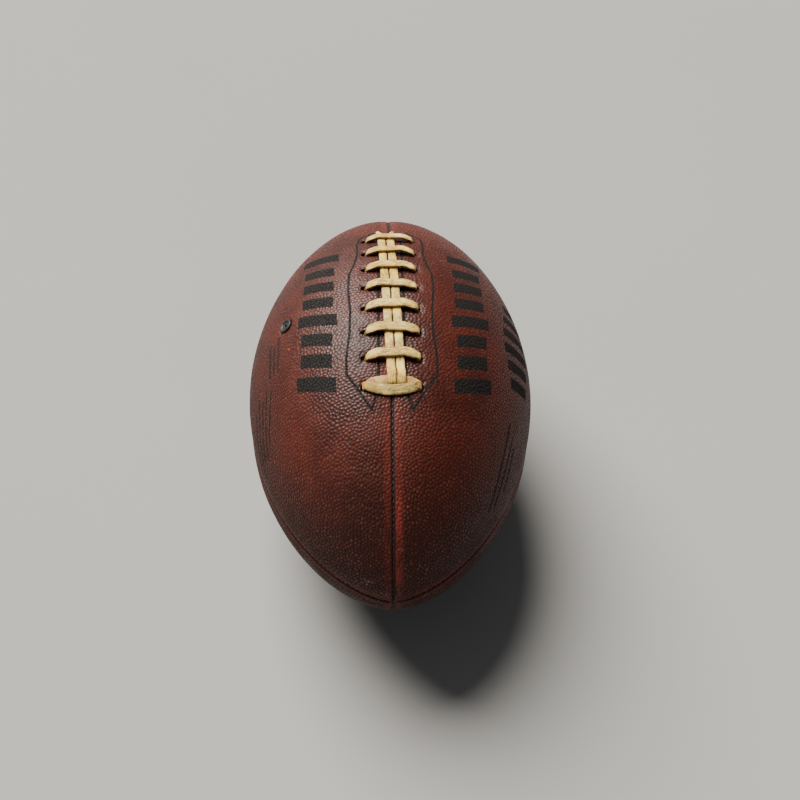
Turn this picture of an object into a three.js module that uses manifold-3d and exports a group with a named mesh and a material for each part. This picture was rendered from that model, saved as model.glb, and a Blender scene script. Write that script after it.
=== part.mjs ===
import * as THREE from 'three';
import { mergeVertices } from 'three/addons/utils/BufferGeometryUtils.js';
import Module from 'manifold-3d';

// Laced gridiron football. Millimetres, +Z up, long axis along Y, laces on top, origin at the
// middle of the ball.

// ---------------------------------------------------------------- driving dimensions
const HALF_LENGTH = 142.5;
const RADIUS = 85.7;
const NOSE_POWER = 0.64; // 0.5 gives a plain ellipse, a larger power gives sharper noses
const SEAM_DIP = 0.014; // how far a seam sinks, as a share of the radius
const SEAM_DIP_SPREAD = THREE.MathUtils.degToRad(7);
const PANEL_COUNT = 4;
const NOSE_END = 0.9995; // the panels stop this share of the way to the nose

const GAP = 0.15; // half of the clearance left on each side of a seam
const LEATHER = 2.2;
const SEAM_ALLOWANCE = 4.4; // how deep the turned-in panel edges reach
const GROOVE_DEPTH = 1.5;
const GROOVE_HALF_WIDTH = 1.2;
const LINING_TOP = 2.7;
const LINING_BOTTOM = 3.7;
const THREAD_RADIUS = 0.35;
const THREAD_DEPTH = 0.5;
const THREAD_END = 0.994;

const EYELET_TAPE = { top: 4.3, bottom: 4.9, inner: 8.8, outer: 20.5 };
const TONGUE = { top: 9.5, bottom: 10.4, halfWidth: 19 };
const LACED_END_MARGIN = 9; // how far the tapes and the tongue run past the end holes

const BLADDER_DEPTH = 5.7;
const BLADDER_DEPTH_UNDER_LACE = 11;
const BLADDER_WALL = 0.8;

const LACE_WIDTH = 4.8;
const LACE_THICKNESS = 1.6;
const LACE_EDGE = 0.5; // bevel along both lace edges
const HOLE_CLEARANCE = 0.6;
const BAR_COUNT = 8;
const BAR_PITCH = 16.9;
const LACE_MIDDLE = 4.4;
const HOLE_ACROSS = 14.5; // distance of the lace holes from the seam

const STRAP_LANE = 2.7; // half the distance between the two long straps
const STRAP_SKEW = 1.2; // sideways drift of the straps from the middle to either end
const STRAP_HEIGHT = 1.15;
const STRAP_OVER_PASS = 3.05;
const STRAP_TIP = 5.5; // how far the cut ends stand past the last bar
const BAR_HEIGHT = 2.85;
const BAR_CORNER_HEIGHT = 1.25;
const BAR_SHOULDER = 7.2;
const INNER_RUN = -6.2;
const DEEP_RUN = -8.2;

const VALVE = { along: 5, angle: THREE.MathUtils.degToRad(-45), radius: 3.6, proud: 0.6 };
const VALVE_FOOT_RADIUS = 9;
const NEEDLE_HOLE = 0.9;
const PATCH = { top: 4.5, bottom: 5.1, radius: 11 };

const COLORS = {
  leather: 0x5a2a1e,
  lining: 0xb9aa8c,
  thread: 0x1d1512,
  tape: 0x8c8069,
  tongue: 0x2a2422,
  bladder: 0x30302f,
  lace: 0xd9cdb4,
  rubber: 0x161616,
  core: 0x5b3a2a,
};

const wasm = await Module();
wasm.setup();
const { degToRad, smoothstep } = THREE.MathUtils;

// ---------------------------------------------------------------- the shape of the ball

// Depth of the dip at this angle: one at a seam, nearly nothing in the middle of a panel.
function seamNearness(angle) {
  const panelAngle = (2 * Math.PI) / PANEL_COUNT;
  const fromSeam = angle - Math.round(angle / panelAngle) * panelAngle;
  return Math.exp(-((fromSeam / SEAM_DIP_SPREAD) ** 2));
}

// A point in the ball's wall. `share` runs -1..1 from nose to nose, `angle` turns from the top
// seam towards +X, `depth` goes inwards from the outer leather face.
function wallPoint(share, angle, depth) {
  const smooth = (RADIUS - depth) * (1 - share * share) ** NOSE_POWER;
  const radius = smooth * (1 - SEAM_DIP * seamNearness(angle));
  const along = share * (HALF_LENGTH - depth);
  return new THREE.Vector3(radius * Math.sin(angle), along, radius * Math.cos(angle));
}

// Radius of the ball at this share of its length, before the seam dips are taken off.
function radiusAt(share) {
  return RADIUS * (1 - share * share) ** NOSE_POWER;
}

// The same wall, addressed by millimetres: across the seam, along the ball and height above it.
function overSeam(across, along, height) {
  const share = along / (HALF_LENGTH + height);
  return wallPoint(share, across / radiusAt(share), -height);
}

// Shares from one end to the other, closer together towards the noses.
function shares(from, to, steps) {
  const start = Math.asin(from);
  const step = (Math.asin(to) - start) / steps;
  return Array.from({ length: steps + 1 }, (_, i) => Math.sin(start + i * step));
}

// ---------------------------------------------------------------- solids

function geometryFrom(points, triangles) {
  const geometry = new THREE.BufferGeometry().setFromPoints(points);
  geometry.setIndex(triangles);
  return geometry;
}

// Joins closed loops of points into one solid and closes both ends.
function loft(loops) {
  const count = loops[0].length;
  const triangles = [];
  for (let ring = 0; ring + 1 < loops.length; ring++) {
    for (let i = 0; i < count; i++) {
      const a = ring * count + i;
      const b = ring * count + ((i + 1) % count);
      triangles.push(a, b, a + count, b, b + count, a + count);
    }
  }
  const last = (loops.length - 1) * count;
  for (const [a, b, c] of capTriangles(loops[0])) triangles.push(a, c, b);
  for (const [a, b, c] of capTriangles(loops.at(-1))) triangles.push(last + a, last + b, last + c);
  return geometryFrom(loops.flat(), triangles);
}

// Triangles that fill a loop, found in the plane seen along the ball.
function capTriangles(loop) {
  const flat = loop.map((p) => new THREE.Vector2(p.z, p.x));
  return THREE.ShapeUtils.triangulateShape(flat, []);
}

// A solid inside the ball's wall, from its outline in angle and depth at each share.
function wallSolid(stations, outlineAt) {
  return loft(stations.map((s) => outlineAt(s).map(([angle, depth]) => wallPoint(s, angle, depth))));
}

// Outline of a layer between two angles and two depths.
function layerOutline(angles, top, bottom) {
  const outer = angles.map((angle) => [angle, top]);
  const inner = angles.map((angle) => [angle, bottom]).reverse();
  return [...outer, ...inner];
}

function toManifold(geometry) {
  const clean = geometry.clone();
  clean.deleteAttribute('normal');
  clean.deleteAttribute('uv');
  const merged = mergeVertices(clean, 1e-5);
  const vertProperties = new Float32Array(merged.attributes.position.array);
  const triVerts = new Uint32Array(merged.index.array);
  return new wasm.Manifold(new wasm.Mesh({ numProp: 3, vertProperties, triVerts }));
}

function fromManifold(solid) {
  const mesh = solid.getMesh();
  const geometry = new THREE.BufferGeometry();
  geometry.setAttribute('position', new THREE.BufferAttribute(mesh.vertProperties, 3));
  geometry.setIndex(new THREE.BufferAttribute(mesh.triVerts, 1));
  return geometry;
}

function cutAway(geometry, cutters) {
  let solid = toManifold(geometry);
  for (const cutter of cutters) solid = solid.subtract(toManifold(cutter));
  return fromManifold(solid);
}

// ---------------------------------------------------------------- places on the ball

const barPositions = Array.from(
  { length: BAR_COUNT },
  (_, i) => LACE_MIDDLE + (i - (BAR_COUNT - 1) / 2) * BAR_PITCH,
);
const nearBar = barPositions[0];
const farBar = barPositions.at(-1);

// A box through the wall, centred on a place near the top seam.
function boxThroughWall(across, along, width, length, depth) {
  const step = 0.5;
  const middle = overSeam(across, along, -depth / 2);
  const acrossAxis = overSeam(across + step, along, 0).sub(overSeam(across, along, 0));
  const alongAxis = overSeam(across, along + step, 0).sub(overSeam(across, along, 0));
  const outAxis = overSeam(across, along, step).sub(overSeam(across, along, 0));
  const frame = new THREE.Matrix4().makeBasis(
    acrossAxis.normalize(),
    alongAxis.normalize(),
    outAxis.normalize(),
  );
  frame.setPosition(middle);
  return new THREE.BoxGeometry(width, length, depth + 6).applyMatrix4(frame);
}

// Holes for the lace: one pair for each bar, the near pair wide enough for two passes, and the
// opening in the seam where both straps go inside.
function laceCutters() {
  const length = LACE_WIDTH + 2 * HOLE_CLEARANCE;
  const width = LACE_THICKNESS + 2 * HOLE_CLEARANCE;
  const cutters = [boxThroughWall(0, nearBar, 15, length, EYELET_TAPE.bottom)];
  for (const side of [-1, 1]) {
    for (const along of barPositions) {
      const doubled = along === nearBar;
      const across = doubled ? HOLE_ACROSS + 0.15 : HOLE_ACROSS;
      const wide = doubled ? width + 1.9 : width;
      cutters.push(boxThroughWall(side * across, along, wide, length, EYELET_TAPE.bottom));
    }
  }
  return cutters;
}

// Frame of the valve: its own +Y points straight out of the panel.
function valveFrame() {
  const share = VALVE.along / HALF_LENGTH;
  const step = 0.001;
  const seat = wallPoint(share, VALVE.angle, 0);
  const along = wallPoint(share + step, VALVE.angle, 0).sub(seat).normalize();
  const around = wallPoint(share, VALVE.angle + step, 0).sub(seat).normalize();
  const out = new THREE.Vector3().crossVectors(around, along).normalize();
  return new THREE.Matrix4().makeBasis(new THREE.Vector3().crossVectors(out, along), out, along)
    .setPosition(seat);
}

// A turned body on the valve's axis, from a closed outline of radius and height listed from its
// top inner corner outwards and down.
function turnedOnValve(outline, segments = 28) {
  const closed = [...outline, outline[0]].reverse();
  const points = closed.map(([radius, height]) => new THREE.Vector2(radius, height));
  return new THREE.LatheGeometry(points, segments).applyMatrix4(valveFrame());
}

function valveCutter(radius) {
  return turnedOnValve([[0, 8], [radius, 8], [radius, -20], [0, -20]]);
}

// ---------------------------------------------------------------- leather panels and linings

// Where the wall's facets fall, as shares of the way from a panel's edge to its middle.
const OUTER_STEPS = [0.06, 0.13, 0.24, 0.4, 0.6, 0.8];
const INNER_STEPS = [0.2, 0.45, 0.72];
const WALL_STATIONS = shares(-NOSE_END, NOSE_END, 24);
const LINING_STATIONS = WALL_STATIONS.filter((share) => Math.abs(share) < 0.98);
const BLADDER_STATIONS = WALL_STATIONS.filter((share) => Math.abs(share) < 0.99);

// Angles across a panel: stepped from one edge to the middle, then the same mirrored.
function acrossPanel(start, edge, steps) {
  const middle = Math.PI / PANEL_COUNT;
  const near = [0, ...steps, 1].map((step) => edge + (middle - edge) * step);
  const far = near.slice(0, -1).map((angle) => 2 * middle - angle).reverse();
  return [...near, ...far].map((angle) => start + angle);
}

// Angle that covers this distance at the ball's surface, never so much that two edges meet.
function angleFor(distance, share, most = 36) {
  return Math.min(Math.asin(Math.min(distance / radiusAt(share), 1)), degToRad(most));
}

// One panel: leather face, bevelled edges that form half of the seam groove, and edges turned
// inwards along both seams.
function panelOutline(start, share) {
  const end = start + (2 * Math.PI) / PANEL_COUNT;
  const seam = angleFor(GAP, share, 10);
  const bevel = angleFor(GROOVE_HALF_WIDTH, share, 20);
  const turned = angleFor(GAP + LEATHER, share);
  const face = acrossPanel(start, bevel, OUTER_STEPS).map((angle) => [angle, 0]);
  const back = acrossPanel(start, turned, INNER_STEPS).map((angle) => [angle, LEATHER]).reverse();
  return [
    [start + seam, GROOVE_DEPTH],
    ...face,
    [end - seam, GROOVE_DEPTH],
    [end - seam, SEAM_ALLOWANCE],
    [end - turned, SEAM_ALLOWANCE],
    ...back,
    [start + turned, SEAM_ALLOWANCE],
    [start + seam, SEAM_ALLOWANCE],
  ];
}

function leatherPanel(start) {
  return wallSolid(WALL_STATIONS, (share) => panelOutline(start, share));
}

function liningPanel(start) {
  return wallSolid(LINING_STATIONS, (share) => {
    const edge = angleFor(GAP + LEATHER + 0.4, share);
    return layerOutline(acrossPanel(start, edge, INNER_STEPS), LINING_TOP, LINING_BOTTOM);
  });
}

// ---------------------------------------------------------------- parts under the lace

const lacedFrom = (nearBar - LACED_END_MARGIN) / HALF_LENGTH;
const lacedTo = (farBar + LACED_END_MARGIN) / HALF_LENGTH;
const lacedStations = [
  lacedFrom,
  ...WALL_STATIONS.filter((share) => share > lacedFrom + 0.02 && share < lacedTo - 0.02),
  lacedTo,
];

// A strip that runs along the seam between two distances from it.
function stripAlongSeam(from, to, top, bottom, steps) {
  return wallSolid(lacedStations, (share) => {
    const distances = Array.from({ length: steps + 1 }, (_, i) => from + ((to - from) * i) / steps);
    return layerOutline(distances.map((d) => d / radiusAt(share)), top, bottom);
  });
}

function eyeletTape(side) {
  const [from, to] = [side * EYELET_TAPE.inner, side * EYELET_TAPE.outer].sort((a, b) => a - b);
  return stripAlongSeam(from, to, EYELET_TAPE.top, EYELET_TAPE.bottom, 2);
}

function tongue() {
  return stripAlongSeam(-TONGUE.halfWidth, TONGUE.halfWidth, TONGUE.top, TONGUE.bottom, 6);
}

// ---------------------------------------------------------------- bladder and valve

// The bladder presses on the linings and gives way under the lace.
function bladderDepth(share, angle) {
  const turn = Math.abs(Math.atan2(Math.sin(angle), Math.cos(angle)));
  const sideways = 1 - smoothstep(turn, degToRad(20), degToRad(32));
  const lengthways = 1 - smoothstep(Math.abs(share), 0.58, 0.8);
  return BLADDER_DEPTH + (BLADDER_DEPTH_UNDER_LACE - BLADDER_DEPTH) * sideways * lengthways;
}

function bladderBody(extraDepth) {
  const quarter = [0, 10, 20, 32, 45, 58, 70, 80].map(degToRad);
  const angles = [0, 1, 2, 3].flatMap((turn) => quarter.map((a) => a + (turn * Math.PI) / 2));
  return wallSolid(BLADDER_STATIONS, (share) =>
    angles.map((angle) => [angle, bladderDepth(share, angle) + extraDepth]),
  );
}

function bladder() {
  return cutAway(bladderBody(0), [bladderBody(BLADDER_WALL), valveCutter(VALVE.radius + 0.4)]);
}

// Moulded valve: a stem with a flat end just proud of the leather, a bore for the core and a wide
// foot inside the bladder.
function valveBody() {
  const top = VALVE.proud;
  return turnedOnValve([
    [NEEDLE_HOLE, top],
    [VALVE.radius - 0.4, top],
    [VALVE.radius, top - 0.4],
    [VALVE.radius, -7.8],
    [VALVE_FOOT_RADIUS, -8.1],
    [VALVE_FOOT_RADIUS, -8.8],
    [VALVE.radius, -9.5],
    [2.9, -13],
    [1.7, -13],
    [1.7, -2.6],
    [NEEDLE_HOLE, -2.0],
  ]);
}

// Soft core that closes round the needle.
function valveCore() {
  return turnedOnValve([[0.25, -3.1], [1.4, -3.1], [1.4, -12], [0.9, -12.6], [0.25, -12.6]], 20);
}

// Rubber patch between lining and bladder, round the valve stem.
function valvePatch() {
  const share = VALVE.along / HALF_LENGTH;
  const angleStep = (2 * Math.PI) / 24;
  const hole = VALVE.radius + 0.5;
  const rims = [
    [hole, PATCH.top],
    [PATCH.radius, PATCH.top],
    [PATCH.radius, PATCH.bottom],
    [hole, PATCH.bottom],
  ];
  const points = [];
  const triangles = [];
  for (let i = 0; i < 24; i++) {
    const turn = i * angleStep;
    for (const [radius, depth] of rims) {
      const placeShare = share + (radius * Math.cos(turn)) / HALF_LENGTH;
      const placeAngle = VALVE.angle + (radius * Math.sin(turn)) / radiusAt(placeShare);
      points.push(wallPoint(placeShare, placeAngle, depth));
    }
    for (let corner = 0; corner < 4; corner++) {
      const a = i * 4 + corner;
      const b = i * 4 + ((corner + 1) % 4);
      const nextA = ((i + 1) % 24) * 4 + corner;
      const nextB = ((i + 1) % 24) * 4 + ((corner + 1) % 4);
      triangles.push(a, nextA, b, b, nextA, nextB);
    }
  }
  return geometryFrom(points, triangles);
}

// ---------------------------------------------------------------- seam thread

function seamThread(angle, from, to, steps) {
  const sides = Array.from({ length: 6 }, (_, i) => (i * Math.PI) / 3);
  return wallSolid(shares(from, to, steps), (share) =>
    sides.map((turn) => [
      angle + (THREAD_RADIUS * Math.cos(turn)) / radiusAt(share),
      THREAD_DEPTH + THREAD_RADIUS * Math.sin(turn),
    ]),
  );
}

// ---------------------------------------------------------------- lace

// Sideways place of the two straps: they drift a little from one end of the lacing to the other.
function strapAcross(side, along) {
  const halfSpan = (farBar - nearBar) / 2;
  return side * STRAP_LANE - (STRAP_SKEW * (along - LACE_MIDDLE)) / halfSpan;
}

// One waypoint of the lace: where it is over the seam, which way its width points, and how
// tightly it bends there.
function at(across, along, height, width, bend) {
  return { place: new THREE.Vector3(across, along, height), width, bend };
}

const LENGTHWAYS = new THREE.Vector3(0, 1, 0);
const SIDEWAYS = new THREE.Vector3(1, 0, 0);

// One plain bar: up out of the left hole, over both straps, down into the right hole.
function barWaypoints(along, depthAtEnd) {
  return [
    at(-HOLE_ACROSS, along, INNER_RUN, LENGTHWAYS, 1.6),
    at(-HOLE_ACROSS, along, BAR_CORNER_HEIGHT, LENGTHWAYS, 1.6),
    at(-BAR_SHOULDER, along, BAR_HEIGHT, LENGTHWAYS, 3),
    at(BAR_SHOULDER, along, BAR_HEIGHT, LENGTHWAYS, 3),
    at(HOLE_ACROSS, along, BAR_CORNER_HEIGHT, LENGTHWAYS, 1.6),
    at(HOLE_ACROSS, along, depthAtEnd, LENGTHWAYS, 1.6),
  ];
}

// One of the two passes at the near end. They share a pair of holes, bow apart in the middle
// and swap over and under at the sides; the second pass is the first turned half round.
function nearPassWaypoints(turned, depthAtStart, depthAtEnd) {
  const places = [
    [-15.6, 0, 3.3],
    [-9, -3.2, 2.9],
    [-6.8, -3.5, 1.15],
    [8.6, -3.5, 1.15],
    [13.7, 0, 1.15],
  ];
  const path = turned ? places.map(([x, y, z]) => [-x, -y, z]).reverse() : places;
  const first = path[0];
  const last = path.at(-1);
  return [
    at(first[0], nearBar, depthAtStart, LENGTHWAYS, 1.5),
    ...path.map(([x, y, z]) => at(x, nearBar + y, z, LENGTHWAYS, 1.5)),
    at(last[0], nearBar, depthAtEnd, LENGTHWAYS, 1.5),
  ];
}

// A strap lies along the seam under the bars, climbs over the rear pass at the near end and
// drops through the opening in the seam. Listed from its cut end inwards.
function strapWaypoints(side, depthInside, widthInside) {
  const tip = farBar + LACE_WIDTH / 2 + STRAP_TIP;
  const foot = strapAcross(side, nearBar);
  return [
    at(strapAcross(side, tip), tip, STRAP_HEIGHT, SIDEWAYS, 0),
    at(strapAcross(side, nearBar + 9.5), nearBar + 9.5, STRAP_HEIGHT, SIDEWAYS, 3),
    at(foot, nearBar + 6, STRAP_OVER_PASS, SIDEWAYS, 3),
    at(foot, nearBar, STRAP_OVER_PASS, SIDEWAYS, 1.3),
    at(foot, nearBar, depthInside, widthInside, 1.3),
  ];
}

// The whole lace in one piece: left strap, both near passes, seven bars with slanting runs
// inside, a deep run back to the near end, right strap.
function laceWaypoints() {
  const leftStrap = strapWaypoints(-1, INNER_RUN, LENGTHWAYS);
  const rearPass = nearPassWaypoints(true, INNER_RUN, DEEP_RUN);
  const runBetweenPasses = [
    at(9, nearBar - 4.2, DEEP_RUN, LENGTHWAYS, 4),
    at(-9, nearBar - 4.2, DEEP_RUN, LENGTHWAYS, 4),
  ];
  const frontPass = nearPassWaypoints(false, DEEP_RUN, INNER_RUN);
  const bars = barPositions
    .slice(1)
    .flatMap((along) => barWaypoints(along, along === farBar ? DEEP_RUN : INNER_RUN));
  const againstSideways = SIDEWAYS.clone().negate();
  const turnBack = at(
    strapAcross(1, farBar),
    farBar,
    DEEP_RUN,
    LENGTHWAYS.clone().add(againstSideways).normalize(),
    6,
  );
  const rightStrap = strapWaypoints(1, DEEP_RUN, SIDEWAYS)
    .reverse()
    .map((waypoint) => ({ ...waypoint, width: againstSideways }));
  return [
    ...leftStrap, ...rearPass, ...runBetweenPasses, ...frontPass, ...bars, turnBack, ...rightStrap,
  ];
}

// Replaces every corner of the route by a short curve and splits the long straight runs.
function smoothRoute(waypoints, longestStep) {
  const route = [];
  const push = (place, width) => {
    const previous = route.at(-1);
    if (previous) {
      const pieces = Math.ceil(previous.place.distanceTo(place) / longestStep);
      for (let i = 1; i < pieces; i++) {
        route.push({
          place: previous.place.clone().lerp(place, i / pieces),
          width: previous.width.clone().lerp(width, i / pieces),
        });
      }
    }
    route.push({ place, width });
  };
  waypoints.forEach((corner, i) => {
    const before = waypoints[i - 1];
    const after = waypoints[i + 1];
    if (!before || !after) {
      push(corner.place, corner.width);
      return;
    }
    const back = before.place.clone().sub(corner.place);
    const ahead = after.place.clone().sub(corner.place);
    const turn = Math.PI - back.angleTo(ahead);
    const reach = Math.min(corner.bend * Math.tan(turn / 2), 0.45 * back.length(), 0.45 * ahead.length());
    const start = corner.place.clone().addScaledVector(back.normalize(), reach);
    const end = corner.place.clone().addScaledVector(ahead.normalize(), reach);
    const steps = Math.max(1, Math.round(turn / degToRad(28)));
    for (let step = 0; step <= steps; step++) {
      const t = step / steps;
      const place = start.clone().multiplyScalar((1 - t) ** 2)
        .addScaledVector(corner.place, 2 * t * (1 - t))
        .addScaledVector(end, t * t);
      push(place, corner.width);
    }
  });
  return route;
}

// A flat band with bevelled edges swept along the route over the seam.
function lace() {
  const route = smoothRoute(laceWaypoints(), 10);
  const centres = route.map(({ place }) => overSeam(place.x, place.y, place.z));
  const halfWidth = LACE_WIDTH / 2;
  const halfThickness = LACE_THICKNESS / 2;
  const section = [
    [-halfWidth, 0],
    [-halfWidth + LACE_EDGE, -halfThickness],
    [halfWidth - LACE_EDGE, -halfThickness],
    [halfWidth, 0],
    [halfWidth - LACE_EDGE, halfThickness],
    [-halfWidth + LACE_EDGE, halfThickness],
  ];
  const loops = route.map(({ place, width }, i) => {
    const ahead = centres[Math.min(i + 1, centres.length - 1)];
    const behind = centres[Math.max(i - 1, 0)];
    const tangent = ahead.clone().sub(behind).normalize();
    const aside = place.clone().addScaledVector(width, 0.5);
    const sideways = overSeam(aside.x, aside.y, aside.z).sub(centres[i]);
    sideways.addScaledVector(tangent, -sideways.dot(tangent)).normalize();
    const up = new THREE.Vector3().crossVectors(tangent, sideways);
    return section.map(([s, t]) =>
      centres[i].clone().addScaledVector(sideways, s).addScaledVector(up, t),
    );
  });
  return bandSolid(loops);
}

// Joins the lace sections and closes both cut ends with a fan.
function bandSolid(loops) {
  const count = loops[0].length;
  const last = (loops.length - 1) * count;
  const triangles = [];
  for (let ring = 0; ring + 1 < loops.length; ring++) {
    for (let i = 0; i < count; i++) {
      const a = ring * count + i;
      const b = ring * count + ((i + 1) % count);
      triangles.push(a, b, a + count, b, b + count, a + count);
    }
  }
  for (let i = 1; i + 1 < count; i++) {
    triangles.push(0, i + 1, i);
    triangles.push(last, last + i, last + i + 1);
  }
  return geometryFrom(loops.flat(), triangles);
}

// ---------------------------------------------------------------- assembly

const group = new THREE.Group();

function addPart(name, geometry, color, roughness) {
  const material = new THREE.MeshStandardMaterial({ color, roughness, metalness: 0 });
  const mesh = new THREE.Mesh(geometry, material);
  mesh.name = name;
  group.add(mesh);
}

const quarterTurn = Math.PI / 2;
const panelSides = [
  { name: 'upper_right', start: 0, laced: true },
  { name: 'lower_right', start: quarterTurn },
  { name: 'lower_left', start: 2 * quarterTurn },
  { name: 'upper_left', start: 3 * quarterTurn, laced: true, valved: true },
];
const laceHoles = laceCutters();

for (const { name, start, laced, valved } of panelSides) {
  const holes = laced ? [...laceHoles] : [];
  if (valved) holes.push(valveCutter(VALVE.radius + 0.35));
  addPart(`panel_${name}`, cutAway(leatherPanel(start), holes), COLORS.leather, 0.45);
  addPart(`lining_${name}`, cutAway(liningPanel(start), holes), COLORS.lining, 0.9);
}

addPart('eyelet_tape_left', cutAway(eyeletTape(-1), laceHoles), COLORS.tape, 0.85);
addPart('eyelet_tape_right', cutAway(eyeletTape(1), laceHoles), COLORS.tape, 0.85);
addPart('tongue', tongue(), COLORS.tongue, 0.8);

addPart('bladder', bladder(), COLORS.bladder, 0.6);
addPart('valve_body', valveBody(), COLORS.rubber, 0.5);
addPart('valve_core', valveCore(), COLORS.core, 0.6);
addPart('valve_patch', valvePatch(), COLORS.rubber, 0.7);

const slotNear = (nearBar - 5) / HALF_LENGTH;
const slotFar = (farBar + 5) / HALF_LENGTH;
addPart('thread_top_near', seamThread(0, -THREAD_END, slotNear, 12), COLORS.thread, 0.7);
addPart('thread_top_far', seamThread(0, slotFar, THREAD_END, 12), COLORS.thread, 0.7);
addPart('thread_right', seamThread(quarterTurn, -THREAD_END, THREAD_END, 24), COLORS.thread, 0.7);
addPart('thread_bottom', seamThread(2 * quarterTurn, -THREAD_END, THREAD_END, 24), COLORS.thread, 0.7);
addPart('thread_left', seamThread(3 * quarterTurn, -THREAD_END, THREAD_END, 24), COLORS.thread, 0.7);

addPart('lace', lace(), COLORS.lace, 0.6);

export default group;
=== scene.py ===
"""Looks of a laced gridiron football: pebbled leather, lace, seams, valve, light and camera."""

import math

import bmesh
import bpy
import numpy as np
from mathutils import Matrix, Vector


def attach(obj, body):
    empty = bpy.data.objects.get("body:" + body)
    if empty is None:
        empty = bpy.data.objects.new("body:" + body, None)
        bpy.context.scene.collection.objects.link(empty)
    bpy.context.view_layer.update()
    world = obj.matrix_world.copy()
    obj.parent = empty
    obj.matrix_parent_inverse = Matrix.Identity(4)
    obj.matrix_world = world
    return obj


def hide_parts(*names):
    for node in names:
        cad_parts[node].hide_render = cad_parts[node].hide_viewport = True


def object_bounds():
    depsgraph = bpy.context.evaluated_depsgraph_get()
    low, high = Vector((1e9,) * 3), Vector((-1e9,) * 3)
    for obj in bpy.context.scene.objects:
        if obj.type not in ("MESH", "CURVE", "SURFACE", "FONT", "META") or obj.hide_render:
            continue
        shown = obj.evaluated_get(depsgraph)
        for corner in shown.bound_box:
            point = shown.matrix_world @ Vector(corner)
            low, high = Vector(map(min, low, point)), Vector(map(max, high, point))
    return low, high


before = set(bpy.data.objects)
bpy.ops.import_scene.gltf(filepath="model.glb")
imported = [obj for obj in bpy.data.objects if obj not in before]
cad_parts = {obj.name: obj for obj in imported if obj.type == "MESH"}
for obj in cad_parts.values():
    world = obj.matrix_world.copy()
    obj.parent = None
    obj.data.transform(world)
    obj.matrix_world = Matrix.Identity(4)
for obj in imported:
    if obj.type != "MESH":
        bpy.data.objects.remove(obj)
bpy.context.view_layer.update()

# ---------------------------------------------------------------- dimensions, in millimetres

MM = 0.001

# the ball: long axis along Y, top seam on the +Z side
HALF_LENGTH = 142.5
RADIUS = 85.7
NOSE_POWER = 0.64  # 0.5 gives a plain ellipse, a larger power gives sharper noses
SEAM_DIP = 0.014  # how far a seam sinks, as a share of the radius
SEAM_DIP_SPREAD = math.radians(7)
QUARTER = math.pi / 2
NOSE_END = 0.99985  # the leather stops this share of the way to the nose

# leather panels
GRAIN_STEP = 0.55  # spacing of the leather mesh
LEATHER = 2.1
SEAM_GAP = 0.06  # half of the gap left between two panels
EDGE_ROLL = 1.2  # radius of the rolled panel edge
EDGE_TURN_DEPTH = 3.2  # how deep the turned-in edge reaches
PEBBLE_PITCH = 2.2
PEBBLE_JITTER = 0.36  # how far a pebble may leave its grid place, as a share of the pitch
PEBBLE_HEIGHT = 0.38
PUCKER = 0.16  # how far each stitch draws the panel edge in
LACE_HOLE_PULL = 0.55  # how far the lace draws the leather in round its holes
VALVE_PULL = 0.35

# seam thread
STITCH_PITCH = 3.3
THREAD_RADIUS = 0.30
THREAD_DEPTH = 0.8
THREAD_END = 0.996  # share of the half length where the thread ends

# lace: cross bars over two straps that lie along the seam
LACE_WIDTH = 4.9
LACE_THICKNESS = 1.55
LACE_STEP = 0.55  # spacing of the lace mesh along its route
BAR_COUNT = 8
BAR_PITCH = 16.9
LACE_MIDDLE = 4.4  # the middle of the row of bars, towards the far nose
BAR_HEIGHT = 3.1
BAR_CORNER_HEIGHT = 1.15
BAR_SHOULDER = 6.8  # how far from the seam a bar starts to slope down
BAR_LEFT_END = -12.6
BAR_RIGHT_END = 13.9
BAR_END_DRIFT = 1.5  # how much farther right the bars end from the middle to the near end
BAR_LEANS = [0.5, -0.3, 0.4, -0.5, 0.2, 0.6, -0.2]  # how crooked each plain bar lies
HOLE_ACROSS = 14.5  # distance of the lace holes from the seam
HOLE_BEND = -2.2  # height below which the lace runs straight down its hole
STRAP_LANE = 2.6  # half the distance between the two straps
STRAP_SKEW = 2.4  # sideways drift of the straps from the middle to either end
STRAP_HEIGHT = 1.0
STRAP_OVER_PASS = 2.75
STRAP_TIP = 5.5  # how far the cut ends stand past the last bar
INNER_RUN = -6.2  # heights of the lace's runs inside the ball
DEEP_RUN = -8.2

# valve
VALVE_ALONG = 5.0
VALVE_ANGLE = math.radians(-45)
VALVE_RADIUS = 4.5
VALVE_PROFILE = [
    # radius and height over the leather, round the closed outline
    (0.85, -0.1), (1.1, 0.2), (1.6, 0.32), (1.9, 0.18), (2.15, 0.18), (3.0, 0.3), (3.25, 0.66),
    (3.55, 0.86), (4.0, 0.84), (4.35, 0.6), (4.5, 0.2), (4.5, -2.4), (3.6, -3.2), (3.6, -7.8),
    (9, -8.1), (9, -8.8), (3.6, -9.5), (2.9, -13), (1.7, -13), (1.7, -2.6), (0.85, -2.0),
]

BAR_PLACES = [LACE_MIDDLE + (i - (BAR_COUNT - 1) / 2) * BAR_PITCH for i in range(BAR_COUNT)]
NEAR_BAR = BAR_PLACES[0]
FAR_BAR = BAR_PLACES[-1]
HALF_LACING = (FAR_BAR - NEAR_BAR) / 2

# ---------------------------------------------------------------- shape of the ball


def radius_at(share):
    """Radius of the smooth ball at this share of its half length."""
    return RADIUS * (1 - share * share) ** NOSE_POWER


def wall_point(share, angle, depth):
    """Points in the ball's wall: share along it, angle from the top seam, depth inwards."""
    from_seam = angle - np.round(angle / QUARTER) * QUARTER
    dip = SEAM_DIP * np.exp(-((from_seam / SEAM_DIP_SPREAD) ** 2))
    radius = (RADIUS - depth) * (1 - share * share) ** NOSE_POWER * (1 - dip)
    along = share * (HALF_LENGTH - depth)
    return np.stack([radius * np.sin(angle), along, radius * np.cos(angle)], axis=-1)


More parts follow.
